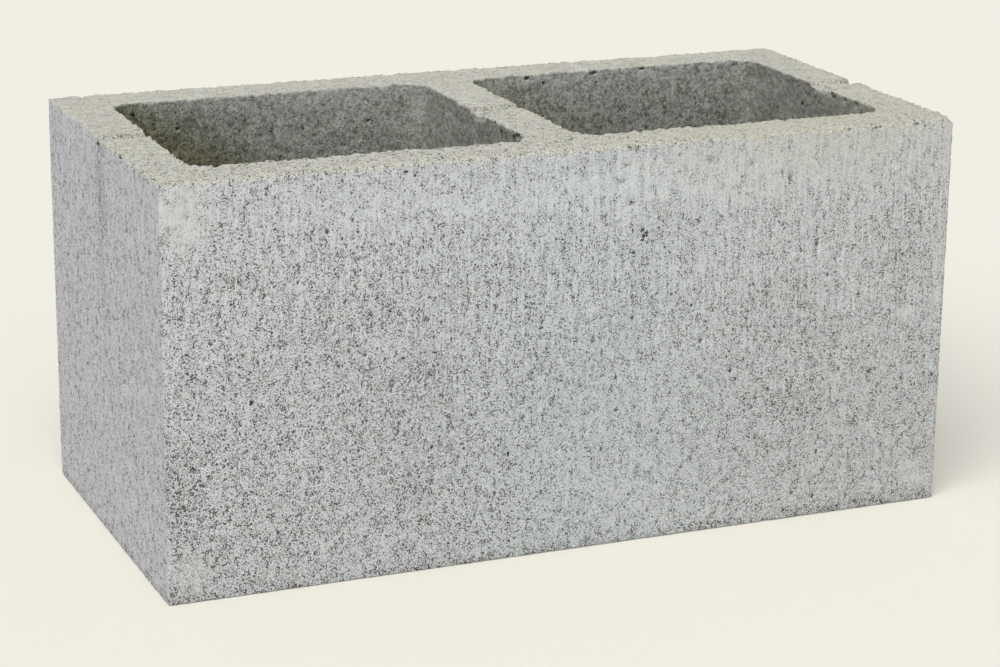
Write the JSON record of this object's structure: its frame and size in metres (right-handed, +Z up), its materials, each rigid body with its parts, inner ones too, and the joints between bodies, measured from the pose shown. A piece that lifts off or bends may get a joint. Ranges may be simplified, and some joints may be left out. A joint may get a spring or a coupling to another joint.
{
  "type": "hollow concrete masonry block",
  "caption": "Rectangular hollow concrete masonry block with flat ends, open tapered cells, face shells and cross webs, laid in mortar to build walls.",
  "frame": {"origin": "centre of the block's footprint, on the face it stands on", "axes": "+X along the block's length, +Y across its width, +Z up towards the face that was on top when it was cast"},
  "size_m": [0.39, 0.19, 0.19],
  "materials": {
    "pressed_concrete": "pressed grey concrete, open-pored, with drag marks from the mould on the outer faces"
  },
  "bodies": {
    "root": {"concrete_block": "pressed_concrete"}
  },
  "joints": []
}
